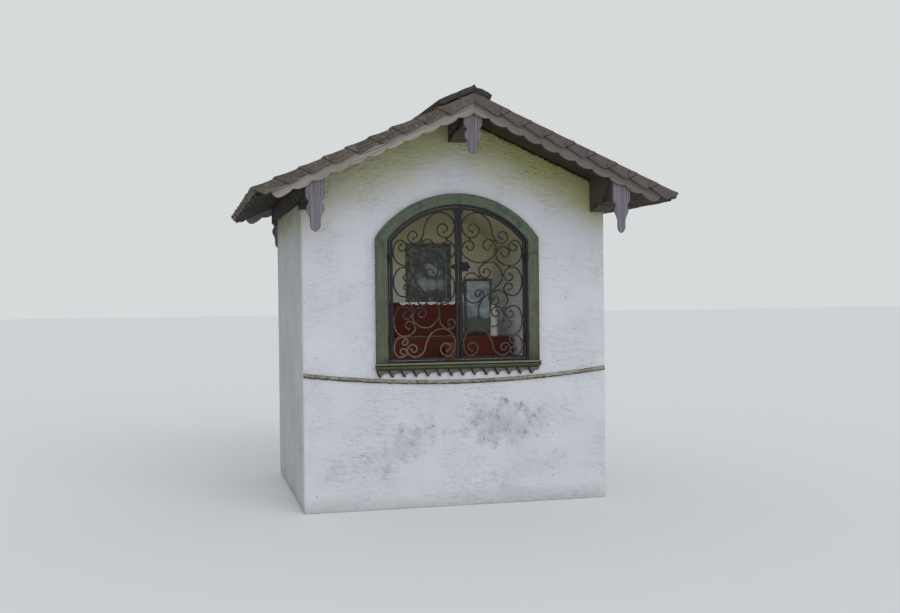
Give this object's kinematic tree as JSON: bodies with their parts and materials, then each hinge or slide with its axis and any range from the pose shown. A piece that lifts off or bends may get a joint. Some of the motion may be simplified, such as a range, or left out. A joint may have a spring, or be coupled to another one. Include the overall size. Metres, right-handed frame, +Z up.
{
  "type": "wayside shrine",
  "caption": "Small gabled masonry shrine with an arched niche, a wrought-iron gate, a shingle roof and an altar.",
  "frame": {"origin": "centre of the masonry's footprint, on the ground", "axes": "+Z up, +X to the right along the front, and the niche opens towards -Y"},
  "size_m": [2.6562, 2.49, 2.5912],
  "materials": {
    "plaster": "whitewashed rough lime plaster over masonry",
    "moulding": "rough moulding with lichen",
    "green_paint": "worn green paint on timber",
    "sill": "worn green paint with lichen",
    "iron": "dark painted wrought iron",
    "timber": "weathered grey-brown timber",
    "pendant_wood": "silver-grey weathered board",
    "shingle": "weathered split shingles",
    "altar_stone": "rough plaster",
    "red_cloth": "dark red woven cloth",
    "lace": "white lace",
    "picture": "framed picture behind glass",
    "print_paper": "framed pale print",
    "figure": "matt pale glaze",
    "terracotta": "plain fired clay"
  },
  "bodies": {
    "shrine": {"lower_wall": "plaster", "left_wall": "plaster", "right_wall": "plaster", "back_wall": "plaster", "niche_vault": "plaster", "front_gable": "plaster", "back_gable": "plaster", "string_moulding": "moulding", "casing_left": "green_paint", "casing_right": "green_paint", "casing_arch": "green_paint", "window_sill": "sill", "sill_trim": "sill", "gate_frame": "iron", "hinge_pins": "iron", "left_plate": "timber", "right_plate": "timber", "ridge_purlin": "timber", "left_roof_boards": "timber", "right_roof_boards": "timber", "left_shingles": "shingle", "right_shingles": "shingle", "left_ridge_board": "timber", "right_ridge_board": "timber", "front_left_bargeboard": "timber", "front_right_bargeboard": "timber", "back_left_bargeboard": "timber", "back_right_bargeboard": "timber", "front_left_verge": "timber", "front_right_verge": "timber", "back_left_verge": "timber", "back_right_verge": "timber", "front_pendants": "pendant_wood", "back_pendants": "pendant_wood", "altar": "altar_stone", "altar_cloth": "red_cloth", "lace_cloth": "lace", "painting": "picture", "print": "print_paper", "statuette": "figure", "flower_pot": "terracotta"},
    "left_leaf": {"left_leaf": "iron", "left_scrollwork": "iron", "lock_handle": "iron"},
    "right_leaf": {"right_leaf": "iron", "right_scrollwork": "iron", "lock_rosette": "iron", "drop_bolt": "iron"}
  },
  "joints": [
    {"name": "left_gate_hinge", "type": "hinge", "parent": "shrine", "child": "left_leaf", "pos_m": [-0.4455, -0.836, 0.92], "axis": [0, 0, -1], "range_deg": [0, 100]},
    {"name": "right_gate_hinge", "type": "hinge", "parent": "shrine", "child": "right_leaf", "pos_m": [0.4455, -0.836, 0.92], "axis": [0, 0, 1], "range_deg": [0, 100]}
  ]
}
